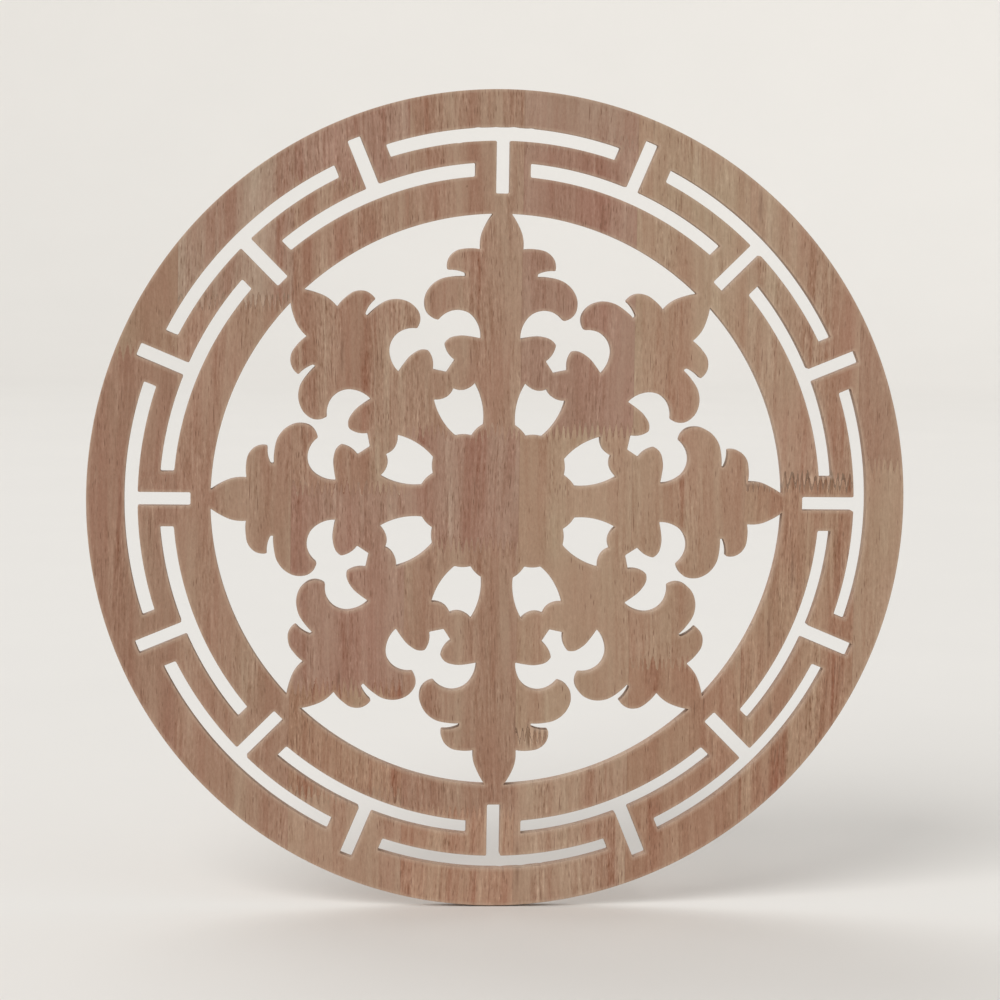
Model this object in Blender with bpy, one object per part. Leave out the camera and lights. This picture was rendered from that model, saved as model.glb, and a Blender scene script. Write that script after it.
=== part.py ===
"""Round fretwork panel for a wall, cut right through one flat board of finger-jointed rubberwood.

Eight pointed leaves grow from a solid hub to a broad ring. Eight small shield-shaped openings
lie round the hub, eight large lobed openings part the leaves, and a key pattern of sixteen
T-shaped slots runs round the ring.

Frame: the panel stands upright in the XZ plane and faces -Y. Its flat back, which goes against
the wall, is the plane y = 0, and the origin is the middle of that back. The leaves point along
X, Z and the two diagonals between them. Everything repeats every 45 degrees and is mirrored
about each leaf's axis, so the outline is given for half a leaf only.
"""

import bmesh
import bpy
from math import asin, ceil, cos, pi, sin, sqrt
from mathutils import Vector

# Outline sizes are in millimetres, as read from the panel's face. MM turns them into metres.
MM = 0.001

DIAMETER = 400.0
THICKNESS = 8.0
RING_INNER_RADIUS = 140.0
LEAF_COUNT = 8
LEAF_STEP = 2.0 * pi / LEAF_COUNT
MIDWAY = LEAF_STEP / 2.0

# Key pattern: two rows of curved slots, each with a straight stem that reaches past the other row.
OUTER_SLOT_EDGES = (175.2, 181.6)
OUTER_STEM_END = 149.7
INNER_SLOT_EDGES = (158.2, 164.8)
INNER_STEM_END = 189.5
STEM_HALF_WIDTH = 3.35
KEY_CLEARANCE = 13.3

# Leaf edge, from the ring to the middle of the opening beside the leaf. Points are given as
# (distance from the centre along the leaf's axis, distance to its side), and each row is one
# smooth stretch. The rows meet at the corners of the outline.
NECK_HALF_WIDTH = 4.5
NECK = (sqrt(RING_INNER_RADIUS ** 2 - NECK_HALF_WIDTH ** 2), NECK_HALF_WIDTH)
BUD_NOTCH = (122.6, 10.3)
UPPER_NOSE = (112.5, 26.1)
SLIT_OUTER_TIP = (110.9, 17.6)
SLIT_INNER_TIP = (109.4, 17.5)
MIDDLE_NOSE = (88.3, 30.5)
CROOK = (79.2, 9.5)
LOWER_NOSE = (76.5, 27.0)
STEP = (68.7, 22.1)
OPENING_FOOT_RADIUS = 67.9
OPENING_FOOT = (OPENING_FOOT_RADIUS * cos(MIDWAY), OPENING_FOOT_RADIUS * sin(MIDWAY))

BUD = (NECK, (135.0, 7.6), (129.0, 10.0), BUD_NOTCH)
UPPER_LOBE = (BUD_NOTCH, (122.9, 16.5), (121.6, 22.0), (117.4, 25.8), UPPER_NOSE)
SLIT = (UPPER_NOSE, (112.3, 21.7), SLIT_OUTER_TIP)
SLIT_END = (SLIT_OUTER_TIP, SLIT_INNER_TIP)
MIDDLE_LOBE = (SLIT_INNER_TIP, (109.25, 23.0), (107.4, 30.2), (103.3, 34.9), (97.0, 37.2),
               (91.3, 35.7), MIDDLE_NOSE)
INNER_BAY = (MIDDLE_NOSE, (91.3, 27.3), (93.2, 21.0), (91.3, 15.0), (86.4, 11.0), CROOK)
LOWER_LOBE = (CROOK, (80.0, 13.5), (80.4, 20.0), (78.6, 25.3), LOWER_NOSE)
LOWER_STEP = (LOWER_NOSE, (73.2, 26.0), STEP)
FOOT_SIDE = (STEP, OPENING_FOOT)
LEAF_EDGE = (BUD, UPPER_LOBE, SLIT, SLIT_END, MIDDLE_LOBE, INNER_BAY, LOWER_LOBE, LOWER_STEP, FOOT_SIDE)

# Half of a shield-shaped opening, from its top to its foot, in the same measures. Both lie on the
# line midway between two leaves.
SHIELD_TOP_RADIUS = 59.7
SHIELD_TOP = (SHIELD_TOP_RADIUS * cos(MIDWAY), SHIELD_TOP_RADIUS * sin(MIDWAY))
SHIELD_SHOULDER = (57.8, 12.3)
SHIELD_WAIST = (37.3, 7.6)
SHIELD_FOOT_RADIUS = 34.4
SHIELD_FOOT = (SHIELD_FOOT_RADIUS * cos(MIDWAY), SHIELD_FOOT_RADIUS * sin(MIDWAY))

HEAD_SCALLOP = (SHIELD_TOP, (54.3, 18.3), (55.2, 15.5), SHIELD_SHOULDER)
SHIELD_SIDE = (SHIELD_SHOULDER, (51.5, 9.3), SHIELD_WAIST)
FOOT_SCALLOP = (SHIELD_WAIST, (35.2, 10.5), SHIELD_FOOT)
SHIELD_EDGE = (HEAD_SCALLOP, SHIELD_SIDE, FOOT_SCALLOP)

# Rounding that the cutter leaves in the corners, and how finely curves are cut into straight runs.
SLOT_CORNER = 0.9
OPENING_CORNER = 0.6
CORNER_RUNS = 2
CURVE_TOLERANCE = 0.12

WOOD_COLOUR = (0.352, 0.222, 0.145, 1.0)
WOOD_ROUGHNESS = 0.72

THROUGH = Vector((0.0, -THICKNESS * MM, 0.0))


def on_radius(radius, angle):
    """Point at a distance from the centre, in a direction counted from the leaf's axis."""
    return Vector((radius * cos(angle), radius * sin(angle)))


def turned(points, angle):
    """The points turned about the panel's centre."""
    return [Vector((x * cos(angle) - y * sin(angle), x * sin(angle) + y * cos(angle))) for x, y in points]


def mirrored(points, angle=0.0):
    """The points mirrored about a line through the centre, in the opposite order."""
    flipped = [Vector((x, -y)) for x, y in turned(points, -angle)]
    return turned(reversed(flipped), angle)


def arc(radius, start, end):
    """Points on a circle about the centre, close enough for the chords to stay within tolerance."""
    step = 2.0 * sqrt(2.0 * CURVE_TOLERANCE / radius)
    runs = max(1, ceil(abs(end - start) / step))
    return [on_radius(radius, start + (end - start) * i / runs) for i in range(runs + 1)]


def bezier(ends, handles):
    """A cubic curve cut into as many straight runs as its bend asks for.

    With n runs, no chord is further from the curve than 3/4 of the bend over n squared.
    """
    (a, d), (b, c) = ends, handles
    bend = max((a - 2.0 * b + c).length, (b - 2.0 * c + d).length)
    runs = max(1, ceil(sqrt(0.75 * bend / CURVE_TOLERANCE)))
    points = []
    for i in range(runs + 1):
        t = i / runs
        s = 1.0 - t
        points.append(s ** 3 * a + 3.0 * s * s * t * b + 3.0 * s * t * t * c + t ** 3 * d)
    return points


def handle(chord, tangent):
    """The handle that makes a cubic curve over the chord follow a circle, where both ends agree."""
    return tangent * (2.0 * chord.length_squared / (3.0 * (chord.length + chord.dot(tangent))))


def smooth(row):
    """A smooth curve through a row of points, made of nearly circular pieces.

    At an inner point the curve runs along the circle through that point and its neighbours. At
    an end it leaves its chord by as much as it meets the next point's. A row of two is straight.
    """
    knots = [Vector(point) for point in row]
    chords = [b - a for a, b in zip(knots, knots[1:])]
    if len(chords) == 1:
        return knots
    weighted = [chord / chord.length_squared for chord in chords]
    tangents = [(a + b).normalized() for a, b in zip(weighted, weighted[1:])]
    first, last = chords[0].normalized(), chords[-1].normalized()
    tangents.insert(0, 2.0 * first.dot(tangents[0]) * first - tangents[0])
    tangents.append(2.0 * last.dot(tangents[-1]) * last - tangents[-1])
    points = [knots[0]]
    for i, chord in enumerate(chords):
        leaving = knots[i] + handle(chord, tangents[i])
        arriving = knots[i + 1] - handle(chord, tangents[i + 1])
        points += bezier(knots[i:i + 2], (leaving, arriving))[1:]
    return points


def trimmed(points, length):
    """The row of points without the given length at its start."""
    for i, (a, b) in enumerate(zip(points, points[1:])):
        run = (b - a).length
        if run > length:
            return [a.lerp(b, length / run)] + points[i + 1:]
        length -= run
    raise ValueError("a stretch is shorter than the rounding at its corner")


def closed(stretches, rounding):
    """One closed outline from stretches that meet at corners, with each corner rounded.

    Both stretches give up the rounding's length at their corner, and a parabola whose control
    point is the corner itself takes its place.
    """
    cut = []
    for stretch in stretches:
        head = trimmed(stretch, rounding)
        cut.append(trimmed(head[::-1], rounding)[::-1])
    outline = []
    for stretch, corner, following in zip(cut, stretches, cut[1:] + cut[:1]):
        outline += stretch
        start, middle, end = stretch[-1], corner[-1], following[0]
        for i in range(1, CORNER_RUNS):
            t = i / CORNER_RUNS
            outline.append((1.0 - t) ** 2 * start + 2.0 * (1.0 - t) * t * middle + t * t * end)
    return outline


def both_sides(edge):
    """An edge's smooth stretches, then their mirror images about the line midway between leaves."""
    near = [smooth(row) for row in edge]
    return near + [mirrored(stretch, MIDWAY) for stretch in reversed(near)]


def lobed_opening():
    """Large opening between the leaf on the axis and the next one, closed by the ring's inner edge."""
    neck_angle = asin(NECK_HALF_WIDTH / RING_INNER_RADIUS)
    rim = arc(RING_INNER_RADIUS, LEAF_STEP - neck_angle, neck_angle)
    return closed(both_sides(LEAF_EDGE) + [rim], OPENING_CORNER)


def shield_opening():
    """Small opening by the hub: scalloped head and foot, with hollow sides between them."""
    return closed(both_sides(SHIELD_EDGE), OPENING_CORNER)


def key_slot(stem_side, far_side, stem_end):
    """T-shaped slot about the leaf's axis: a curved bar with a straight stem in its middle.

    The stem leaves the bar's edge at radius stem_side and ends square at stem_end. The bar's ends
    are cut parallel to the neighbouring stems, KEY_CLEARANCE from the middle of each.
    """
    end_near = MIDWAY - asin(KEY_CLEARANCE / stem_side)
    end_far = MIDWAY - asin(KEY_CLEARANCE / far_side)
    root = asin(STEM_HALF_WIDTH / stem_side)
    stem = [Vector((stem_end, STEM_HALF_WIDTH)), on_radius(stem_side, root)]
    shoulder = arc(stem_side, root, end_near)
    end = [on_radius(stem_side, end_near), on_radius(far_side, end_far)]
    half = [stem, shoulder, end]
    other_half = [mirrored(stretch) for stretch in reversed(half)]
    back = arc(far_side, end_far, -end_far)
    stem_tip = [other_half[-1][-1], stem[0]]
    return closed(half + [back] + other_half + [stem_tip], SLOT_CORNER)


def all_outlines():
    """The panel's rim and every opening in it."""
    rim_part = arc(DIAMETER / 2.0, 0.0, LEAF_STEP)[:-1]
    outer_slot = key_slot(*OUTER_SLOT_EDGES, OUTER_STEM_END)
    inner_slot = key_slot(*reversed(INNER_SLOT_EDGES), INNER_STEM_END)
    openings = (lobed_opening(), shield_opening(), outer_slot, turned(inner_slot, MIDWAY))
    rim = []
    outlines = [rim]
    for leaf in range(LEAF_COUNT):
        rim += turned(rim_part, leaf * LEAF_STEP)
        outlines += [turned(opening, leaf * LEAF_STEP) for opening in openings]
    return outlines


def wood():
    """Bare, sanded rubberwood: a pale pinkish tan without polish."""
    material = bpy.data.materials.new("rubberwood")
    material.use_nodes = True
    shader = material.node_tree.nodes["Principled BSDF"]
    shader.inputs["Base Color"].default_value = WOOD_COLOUR
    shader.inputs["Roughness"].default_value = WOOD_ROUGHNESS
    shader.inputs["Metallic"].default_value = 0.0
    return material


def fretwork_panel():
    """Fill the face between the outlines and extrude it through the board's thickness."""
    bm = bmesh.new()
    for outline in all_outlines():
        ring = [bm.verts.new((x * MM, 0.0, y * MM)) for x, y in outline]
        for a, b in zip(ring, ring[1:] + ring[:1]):
            bm.edges.new((a, b))
    bmesh.ops.triangle_fill(bm, edges=bm.edges[:], use_beauty=True, use_dissolve=False)
    extruded = bmesh.ops.extrude_face_region(bm, geom=bm.faces[:], use_keep_orig=True)
    front = [item for item in extruded["geom"] if isinstance(item, bmesh.types.BMVert)]
    bmesh.ops.translate(bm, verts=front, vec=THROUGH)
    bmesh.ops.recalc_face_normals(bm, faces=bm.faces[:])
    mesh = bpy.data.meshes.new("fretwork_panel")
    bm.to_mesh(mesh)
    bm.free()
    mesh.materials.append(wood())
    panel = bpy.data.objects.new("fretwork_panel", mesh)
    bpy.context.scene.collection.objects.link(panel)


def main():
    for item in list(bpy.data.objects):
        bpy.data.objects.remove(item, do_unlink=True)
    fretwork_panel()


main()
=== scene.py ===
"""Looks of a round openwork wood applique: eased edges, jointed rubberwood and a plain studio.

The panel stands in the XZ plane and faces -Y, with the middle of its back at the origin. Lengths
named here are in millimetres, and MM turns them into metres. Settings that a user would change
show as metres and degrees, and the lens as millimetres.
"""

from math import asin, ceil, cos, pi, radians, sin, sqrt

import bpy
import numpy as np
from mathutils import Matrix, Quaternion, Vector
from mathutils.geometry import delaunay_2d_cdt


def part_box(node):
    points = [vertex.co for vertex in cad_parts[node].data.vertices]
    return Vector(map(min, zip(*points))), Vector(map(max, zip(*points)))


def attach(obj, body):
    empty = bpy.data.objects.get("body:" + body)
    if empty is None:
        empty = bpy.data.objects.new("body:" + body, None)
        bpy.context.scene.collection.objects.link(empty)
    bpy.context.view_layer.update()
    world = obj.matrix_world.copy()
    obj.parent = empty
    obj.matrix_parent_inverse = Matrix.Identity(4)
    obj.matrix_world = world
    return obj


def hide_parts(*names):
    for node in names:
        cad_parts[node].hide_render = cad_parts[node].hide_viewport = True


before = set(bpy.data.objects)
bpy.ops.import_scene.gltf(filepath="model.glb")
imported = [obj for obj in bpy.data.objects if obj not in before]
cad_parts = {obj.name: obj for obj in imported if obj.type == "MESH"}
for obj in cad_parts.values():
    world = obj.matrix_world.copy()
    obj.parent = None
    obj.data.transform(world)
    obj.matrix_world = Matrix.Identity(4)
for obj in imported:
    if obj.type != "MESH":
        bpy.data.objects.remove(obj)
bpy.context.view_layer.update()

bl_info = {
    "name": "Round Fretwork Panel",
    "version": (1, 0, 0),
    "blender": (4, 5, 0),
    "location": "View3D > Sidebar > Fretwork",
    "description": "Round openwork panel cut from finger-jointed rubberwood board",
    "category": "Add Mesh",
}

NODE = "fretwork_panel"
BODY = "root"
MM = 0.001

LOW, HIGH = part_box(NODE)

# Outline, as the solid has it.
RIM_RADIUS = 200.0
RING_INNER_RADIUS = 140.0
LEAF_COUNT = 8
LEAF_STEP = 2.0 * pi / LEAF_COUNT
MIDWAY = LEAF_STEP / 2.0

OUTER_SLOT_EDGES = (175.2, 181.6)
OUTER_STEM_END = 149.7
INNER_SLOT_EDGES = (158.2, 164.8)
INNER_STEM_END = 189.5
STEM_HALF_WIDTH = 3.35
KEY_CLEARANCE = 13.3

# Leaf edge from the ring to the middle of the opening beside it, as rows of points (distance along
# the leaf's axis, distance to its side). Each row is one smooth stretch, and rows meet at corners.
NECK_HALF_WIDTH = 4.5
NECK = (sqrt(RING_INNER_RADIUS ** 2 - NECK_HALF_WIDTH ** 2), NECK_HALF_WIDTH)
BUD_NOTCH = (122.6, 10.3)
UPPER_NOSE = (112.5, 26.1)
SLIT_OUTER_TIP = (110.9, 17.6)
SLIT_INNER_TIP = (109.4, 17.5)
MIDDLE_NOSE = (88.3, 30.5)
CROOK = (79.2, 9.5)
LOWER_NOSE = (76.5, 27.0)
STEP = (68.7, 22.1)
OPENING_FOOT = (67.9 * cos(MIDWAY), 67.9 * sin(MIDWAY))
LEAF_EDGE = (
    (NECK, (135.0, 7.6), (129.0, 10.0), BUD_NOTCH),
    (BUD_NOTCH, (122.9, 16.5), (121.6, 22.0), (117.4, 25.8), UPPER_NOSE),
    (UPPER_NOSE, (112.3, 21.7), SLIT_OUTER_TIP),
    (SLIT_OUTER_TIP, SLIT_INNER_TIP),
    (SLIT_INNER_TIP, (109.25, 23.0), (107.4, 30.2), (103.3, 34.9), (97.0, 37.2), (91.3, 35.7), MIDDLE_NOSE),
    (MIDDLE_NOSE, (91.3, 27.3), (93.2, 21.0), (91.3, 15.0), (86.4, 11.0), CROOK),
    (CROOK, (80.0, 13.5), (80.4, 20.0), (78.6, 25.3), LOWER_NOSE),
    (LOWER_NOSE, (73.2, 26.0), STEP),
    (STEP, OPENING_FOOT),
)

# Half of a shield-shaped opening, from the middle of its top to the middle of its foot.
SHIELD_TOP = (59.7 * cos(MIDWAY), 59.7 * sin(MIDWAY))
SHIELD_SHOULDER = (57.8, 12.3)
SHIELD_WAIST = (37.3, 7.6)
SHIELD_FOOT = (34.4 * cos(MIDWAY), 34.4 * sin(MIDWAY))
SHIELD_EDGE = (
    (SHIELD_TOP, (54.3, 18.3), (55.2, 15.5), SHIELD_SHOULDER),
    (SHIELD_SHOULDER, (51.5, 9.3), SHIELD_WAIST),
    (SHIELD_WAIST, (35.2, 10.5), SHIELD_FOOT),
)

SLOT_CORNER = 0.9
OPENING_CORNER = 0.6

# How finely the paths are cut: how far a chord may stray, the shortest and longest chord, and the
# longest one where there are chips. A stretch is first sampled evenly, an arc by its angle too.
STRAY = 0.012
SHORTEST_RUN = 0.45
LONGEST_RUN = 3.0
CHIPPED_RUN = 0.6
STRETCH_SAMPLES = 24
STRETCHES_PER_RADIAN = 8.0
CORNER_POINTS = 3
SAME_POINT = 1e-7

# Sanded edges: the easing shrinks where the wood is too sharp to hold it.
EASING_SHARE = 0.6
EASING_SLOPE = 0.4
EASING_PASSES = 16
FRONT_EASING_ROWS = 4
BACK_EASING_ROWS = 3

# The pale edge colour fades out over a band inside every edge, and is full on the front easing. On the face
# and easing it is raised fibre with a painted highlight; on the walls behind, it is painted light.
RIM_BAND = 1.8
RIM_BAND_CLEARANCE = 0.95
FACE_EDGE_FUZZ_AND_HIGHLIGHT = 0.8
# On the walls this pale is painted light, lifting the shade in narrow slots.
WALL_PAINTED_LIGHT = 0.85

# Chips torn from the long edges where the cutter ran across the grain: place (x, z), how far
# along the edge each one reaches, and how deep it is. The outer slots that carry them belong to
# the top and bottom leaves.
CHIPS = (
    ((-12.5, 181.2), 1.6, 0.30),
    ((-3.5, 181.7), 1.1, 0.22),
    ((5.5, 181.6), 1.9, 0.32),
    ((14.0, 181.2), 1.3, 0.28),
    ((-21.0, 174.0), 1.2, 0.22),
    ((4.0, -181.7), 1.5, 0.28),
    ((14.5, -181.1), 1.9, 0.32),
    ((24.0, -180.1), 1.2, 0.24),
)
CHIPPED_LEAVES = (2, 6)

# The board: staves from left to right, each a list of blocks from the top down. A block has the
# name of its tone and how strongly its figure shows, then the height of the joint at its foot and
# how strongly that shows, both from 0 to 1. Staves meet in straight glue lines.
FIRST_JOINT = -156.5
STAVE_WIDTH = 55.5
STAVES = (
    (("dusky", 0.45, 70.0, 0.0), ("shaded", 0.55, 9.0, 0.1), ("shaded", 0.85, -45.0, 0.0),
     ("shaded", 0.65)),
    (("sand", 0.80, 95.0, 0.5), ("tan", 0.60)),
    (("rose", 0.90, 153.0, 0.1), ("tan", 0.85, 5.0, 0.2), ("rose", 0.65, -93.0, 0.15),
     ("warm", 1.00, -146.0, 0.3), ("straw", 0.50)),
    (("tan", 0.70, 33.0, 0.1), ("rose", 0.90, -22.0, 0.2), ("tan", 0.60, -155.0, 0.0), ("honey", 1.00)),
    (("sand", 0.50, 173.0, 0.25), ("rose", 0.55, 34.0, 0.3), ("pale", 0.45, -116.0, 1.0), ("straw", 0.75)),
    (("pale", 0.55, -80.0, 0.15), ("warm", 0.65)),
    (("straw", 0.70, 10.0, 0.95), ("warm", 1.00)),
    (("tan", 0.50, 19.0, 0.2), ("pale", 0.42)),
)

# Finger joints: blunt teeth between two blocks, uneven in width and height, with glue showing dark
# at their tips. They are darker and paler by turns over the joint's height, which fades out at
# both ends.
FINGER_PITCH = 2.9
FINGER_LENGTH = 6.4
FINGER_FADE = 1.5
FINGER_DRIFT = 2.2
FINGER_DRIFT_SIZE = 5.5
FLANK_RAGGEDNESS = 5.0
FLANK_REACH = 1.1
FLANK_SHADE = 0.42

# Figure of the wood in each direction: width across the grain, depth into the board and length
# along the grain. A vessel's size is that of the cell of wood that it has to itself, and its reach
# is how much of the cell it fills, with its core at full strength. Its crowds are the shares of
# cells that have one, in bands as dark and as pale as the contrast named with them.
BAND_SIZE = (12.0, 20.0, 240.0)
STREAK_SIZE = (1.7, 3.0, 34.0)
FLECK_SIZE = (0.8, 1.5, 4.5)
FIBRE_SIZE = (0.7, 0.7, 1.5)
CLOUD_SIZE = (24.0, 30.0, 60.0)
ZONE_SIZE = (11.0, 20.0, 55.0)
VESSEL_SIZE = (1.3, 9.0)
LONG_VESSEL_SIZE = (2.2, 40.0)
VESSEL_REACH = 0.25
LONG_VESSEL_REACH = 0.15
VESSEL_CORE = 0.3
VESSEL_CROWDS = (0.55, 0.12)
VESSEL_CONTRAST = 0.8
FAINTEST_VESSEL = 0.35
BLOCK_SHIFT = 700.0
GRAIN_TILT = 0.035
GRAIN_SWAY = 3.0

# What lies over the figure: how strongly glue lines, pores and pale fuzz cover it, and how the
# bare surface shines. Raised grain is as high as it says, in millimetres.
GLUE_HALF_WIDTH = 0.22
GLUE_SHADE = 0.25
PORE_SHADE = 0.75
FUZZ_AND_LIGHT_RANGE = (0.28, 0.55)
WOOD_IOR = 1.45
WOOD_SPECULAR = 0.35
FLECK_POLISH = -0.05
RAISED_GRAIN = 0.05
RAISED_GRAIN_STRENGTH = 0.35

# How far each layer of the figure lightens red, green and blue, where it is at its palest. Wide
# bands of pale wood are less red than dark ones, and small flecks only lighter. The blush turns
# the wood pinker without making it paler.
BAND_TINT = (0.195, 0.400, 0.450)
STREAK_TINT = (0.140, 0.212, 0.248)
FLECK_TINT = (0.107, 0.135, 0.158)
FIBRE_TINT = (0.25, 0.29, 0.32)
BLUSH_TINT = (0.07, -0.08, -0.05)
NOISE_RANGE = (0.28, 0.72)
NOISE_ROUGHNESS = 0.6
FLECK_SHARPNESS = 1.5
ZONE_RANGE = (0.30, 1.80)
TOOTH_TINT = (0.35, 0.42, 0.48)
TOOTH_JITTER = 2.4
TOOTH_LUCK = 0.8

# Dark streaks and flecks in the figure: place (x, z), half width, half length and strength. Each
# is full in its core and fades to its surface, and the streaks of the grain break it up.
MARKS = (
    ((-77.0, 72.0), 1.3, 15.0, 0.55),
    ((-77.0, -87.5), 1.2, 7.0, 0.70),
    ((-33.5, -30.5), 1.5, 5.5, 0.75),
    ((126.0, 145.0), 2.0, 12.0, 0.55),
    ((-55.0, 185.0), 0.9, 6.0, 0.55),
    ((73.0, 188.0), 1.0, 12.0, 0.50),
    ((145.5, -33.0), 1.6, 17.0, 0.55),
    ((134.5, -63.0), 1.2, 18.0, 0.60),
    ((136.0, -102.0), 1.3, 6.0, 0.55),
    ((12.0, -180.0), 1.6, 16.0, 0.60),
    ((9.6, -111.0), 0.7, 11.0, 0.60),
    ((-17.5, 153.0), 0.7, 0.9, 0.85),
)
MARK_HALF_DEPTH = 2.5
MARK_CORE = 0.15
MARK_STREAKS = 0.35
MARK_BASE = 0.75

# Point of the face at the middle of the picture.
AIM = Vector((0.759 * MM, LOW.y, 0.776 * MM))

# Studio, in metres: a round floor that turns up in one sweep, well outside every camera. Each sun
# has a name, degrees to the left and up, its spread in degrees, and its strength.
FLOOR_GAP = 0.5 * MM
FLOOR_EYE = 0.02
FLOOR_RADIUS = 4.0
SWEEP_RADIUS = 1.5
SWEEP_ROWS = 20
SWEEP_COLUMNS = 120
SUNS = (
    ("key", 35.0, 38.0, 35.0, 1.66),
    ("back", 155.0, 40.0, 50.0, 0.91),
)
SKY_STRENGTH = 0.485
PAINT_MOTTLE = 0.015
PAINT_ROUGHNESS = 0.9


def linear(code):
    """An sRGB hex colour as linear red, green and blue."""
    values = np.array([int(code[i:i + 2], 16) / 255.0 for i in (1, 3, 5)])
    return tuple(np.where(values <= 0.04045, values / 12.92, ((values + 0.055) / 1.055) ** 2.4))


def colour_setting(name, code, description):
    """A colour that a user can change, given as sRGB hex."""
    return bpy.props.FloatVectorProperty(
        name=name, description=description, subtype="COLOR", min=0.0, max=1.0, default=linear(code))


class PanelSettings(bpy.types.PropertyGroup):
    """Sizes of the finished panel."""

    diameter: bpy.props.FloatProperty(
        name="Diameter", description="Across the outer rim", unit="LENGTH", default=HIGH.x - LOW.x)
    thickness: bpy.props.FloatProperty(
        name="Thickness", description="Of the board", unit="LENGTH", default=HIGH.y - LOW.y)
    front_easing: bpy.props.FloatProperty(
        name="Front Easing", description="Radius of the sanded front edges", unit="LENGTH",
        default=0.30 * MM)
    back_easing: bpy.props.FloatProperty(
        name="Back Easing", description="Radius of the back edges", unit="LENGTH", default=0.20 * MM)


class WoodSettings(bpy.types.PropertyGroup):
    """Colours and figure of the board."""

    shaded: colour_setting("Shaded", "#95725E", "Darkest blocks, a dull pink brown")
    dusky: colour_setting("Dusky", "#987963", "Dark blocks near the left edge")
    rose: colour_setting("Rose", "#9B7967", "Pinkish blocks")
    warm: colour_setting("Warm", "#9D7A63", "Brown blocks with heavy figure")
    tan: colour_setting("Tan", "#9D7D68", "Middling blocks")
    sand: colour_setting("Sand", "#9F8370", "Greyish pale blocks")
    straw: colour_setting("Straw", "#A4856F", "Yellowish pale blocks")
    honey: colour_setting("Honey", "#A7846D", "Brightest block, at the bottom")
    pale: colour_setting("Pale", "#A48770", "Palest, plainest blocks")
    # Raised Fibre is the pale edge colour: raised fibre with a painted highlight on the sanded edges, and
    # painted light on the cut walls.
    fibre: colour_setting("Raised Fibre", "#C3AC97", "Pale fuzz along sanded edges")
    pore: colour_setting("Pore", "#6E4C3A", "Shadowed inside of the open pores")
    glue: colour_setting("Glue Line", "#7E5F4C", "Thin line between staves")
    figure: bpy.props.FloatProperty(
        name="Figure", description="Contrast of bands and streaks", subtype="FACTOR",
        min=0.0, max=2.0, default=1.0)
    roughness: bpy.props.FloatProperty(
        name="Roughness", description="Of the sanded face", subtype="FACTOR",
        min=0.0, max=1.0, default=0.72)


class StageSettings(bpy.types.PropertyGroup):
    """Camera, floor and lights."""

    azimuth: bpy.props.FloatProperty(
        name="Azimuth", description="Camera left of straight on", subtype="ANGLE",
        default=radians(4.689))
    elevation: bpy.props.FloatProperty(
        name="Elevation", description="Camera above straight on", subtype="ANGLE",
        default=radians(5.379))
    roll: bpy.props.FloatProperty(
        name="Roll", description="Right side of the camera tipped up", subtype="ANGLE",
        default=radians(0.879))
    distance: bpy.props.FloatProperty(
        name="Distance", description="Camera to the middle of the face", unit="LENGTH",
        default=1.78351)
    lens: bpy.props.FloatProperty(
        name="Lens", description="Focal length in millimetres on a 36 mm sensor", default=131.640)
    floor: colour_setting("Floor", "#E6E3DE", "Plain pale studio floor")
    brightness: bpy.props.FloatProperty(
        name="Brightness", description="Strength of all lights together", subtype="FACTOR",
        min=0.0, max=4.0, default=1.0)


def unit(vectors):
    """Vectors divided by their own lengths."""
    return vectors / np.linalg.norm(vectors, axis=-1, keepdims=True)


def turned(points, angle):
    """Points turned about the centre: x cos - z sin, x sin + z cos."""
    return points @ np.array(((cos(angle), sin(angle)), (-sin(angle), cos(angle))))


def mirrored(points, angle=0.0):
    """Points mirrored about a line through the centre, in the opposite order."""
    double = 2.0 * angle
    return points[::-1] @ np.array(((cos(double), sin(double)), (sin(double), -cos(double))))


def line(start, end):
    """Straight stretch: start plus an even share of the way to the end."""
    share = np.linspace(0.0, 1.0, STRETCH_SAMPLES)[:, None]
    return (1.0 - share) * np.array(start) + share * np.array(end)


def arc(radius, start, end):
    """Circle about the centre: radius times cosine and sine of an angle that moves evenly."""
    angle = np.linspace(start, end, STRETCH_SAMPLES * ceil(1.0 + STRETCHES_PER_RADIAN * abs(end - start)))
    return radius * np.column_stack((np.cos(angle), np.sin(angle)))


def curve_through(row):
    """Smooth curve through a row of points, in cubic pieces that nearly follow circles.

    The tangent at an inner point is that of the circle through it and its neighbours: the sum of
    both chords, each over its length squared. At an end the curve leaves its chord by as much as
    it meets the next tangent. A handle is 2 L^2 / 3 (L + chord along tangent) long. Each piece is
    (1-t)^3 a + 3 (1-t)^2 t b + 3 (1-t) t^2 c + t^3 d.
    """
    knots = np.array(row)
    chords = np.diff(knots, axis=0)
    if len(chords) == 1:
        return line(*knots)
    inner = chords / (chords ** 2).sum(axis=1, keepdims=True)
    inner = unit(inner[:-1] + inner[1:])
    first, last = unit(chords[0]), unit(chords[-1])
    tangents = np.vstack((2.0 * (first @ inner[0]) * first - inner[0], inner,
                          2.0 * (last @ inner[-1]) * last - inner[-1]))
    length = np.linalg.norm(chords, axis=1)
    leaving, arriving = tangents[:-1], tangents[1:]
    near = 2.0 * length ** 2 / (3.0 * (length + (chords * leaving).sum(axis=1)))
    far = 2.0 * length ** 2 / (3.0 * (length + (chords * arriving).sum(axis=1)))
    b = knots[:-1] + leaving * near[:, None]
    c = knots[1:] - arriving * far[:, None]
    t = np.linspace(0.0, 1.0, STRETCH_SAMPLES, endpoint=False)[None, :, None]
    s = 1.0 - t
    a, b, c, d = (points[:, None, :] for points in (knots[:-1], b, c, knots[1:]))
    pieces = s ** 3 * a + 3.0 * s * s * t * b + 3.0 * s * t * t * c + t ** 3 * d
    return np.vstack((pieces.reshape(-1, 2), knots[-1:]))


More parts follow.
